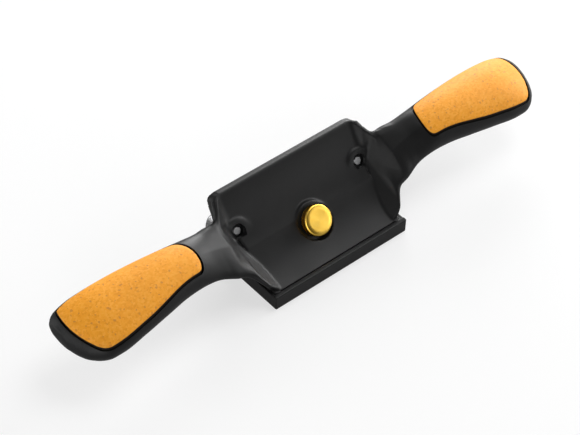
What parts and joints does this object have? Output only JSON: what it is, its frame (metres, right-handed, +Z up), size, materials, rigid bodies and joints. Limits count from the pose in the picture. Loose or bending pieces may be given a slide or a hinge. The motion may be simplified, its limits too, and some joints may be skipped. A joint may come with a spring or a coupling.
{
  "type": "double-handled cabinet scraper plane",
  "caption": "Two-handled cabinet scraper plane: a cast body with cork grips, a leaning blade under a clamp bar and a bow screw.",
  "frame": {"origin": "middle of the sole's outline, on the sole", "axes": "+X along the handles, towards the right handle; +Y forward, away from the user who pushes it; +Z up from the sole"},
  "size_m": [0.2946, 0.0592, 0.0426],
  "materials": {
    "casting": "satin black baked coat on cast iron",
    "cork": "fine-grained agglomerated cork, matt",
    "blade_steel": "ground spring steel",
    "bar_steel": "satin black",
    "screw_steel": "turned and knurled steel",
    "knob_brass": "turned brass, brushed face, knurled edge"
  },
  "bodies": {
    "body": {"body_casting": "casting", "cork_grip_left": "cork", "cork_grip_right": "cork"},
    "blade": {"scraper_blade": "blade_steel"},
    "bar": {"clamp_bar": "bar_steel"},
    "left_screw": {"clamp_stud_left": "screw_steel"},
    "left_head": {"clamp_head_left": "screw_steel"},
    "right_screw": {"clamp_stud_right": "screw_steel"},
    "right_head": {"clamp_head_right": "screw_steel"},
    "bow_screw": {"bow_stud": "screw_steel"},
    "bow_head": {"bow_knob": "knob_brass"}
  },
  "joints": [
    {"name": "blade_slide", "type": "slide", "parent": "body", "child": "blade", "axis": [0, 0.4664, 0.8846], "range_m": [-0.0005, 0.012]},
    {"name": "clamp_left_travel", "type": "slide", "parent": "body", "child": "left_screw", "axis": [0, 0.8846, -0.4664], "range_m": [0, 0.0024]},
    {"name": "clamp_left_spin", "type": "hinge", "parent": "left_screw", "child": "left_head", "pos_m": [-0.0389, 0.01067, 0.02194], "axis": [0, 0.8846, -0.4664], "range_deg": [0, 1080]},
    {"name": "clamp_right_travel", "type": "slide", "parent": "body", "child": "right_screw", "axis": [0, 0.8846, -0.4664], "range_m": [0, 0.0024]},
    {"name": "clamp_right_spin", "type": "hinge", "parent": "right_screw", "child": "right_head", "pos_m": [0.0389, 0.01067, 0.02194], "axis": [0, 0.8846, -0.4664], "range_deg": [0, 1080]},
    {"name": "clamp_bar_lift", "type": "slide", "parent": "body", "child": "bar", "axis": [0, 0.8846, -0.4664], "range_m": [0, 0.0024]},
    {"name": "bow_travel", "type": "slide", "parent": "body", "child": "bow_screw", "axis": [0, -0.788, 0.6157], "range_m": [0, 0.006]},
    {"name": "bow_spin", "type": "hinge", "parent": "bow_screw", "child": "bow_head", "pos_m": [0, -0.0113, 0.0201], "axis": [0, -0.788, 0.6157], "range_deg": [0, 2160]}
  ],
  "couplings": [
    {"joint": "clamp_left_travel", "follows": "clamp_left_spin", "m_per_rad": 0.00012732},
    {"joint": "clamp_right_spin", "follows": "clamp_left_spin", "ratio": 1},
    {"joint": "clamp_right_travel", "follows": "clamp_left_spin", "m_per_rad": 0.00012732},
    {"joint": "clamp_bar_lift", "follows": "clamp_left_spin", "m_per_rad": 0.00012732},
    {"joint": "bow_travel", "follows": "bow_spin", "m_per_rad": 0.00015915}
  ]
}
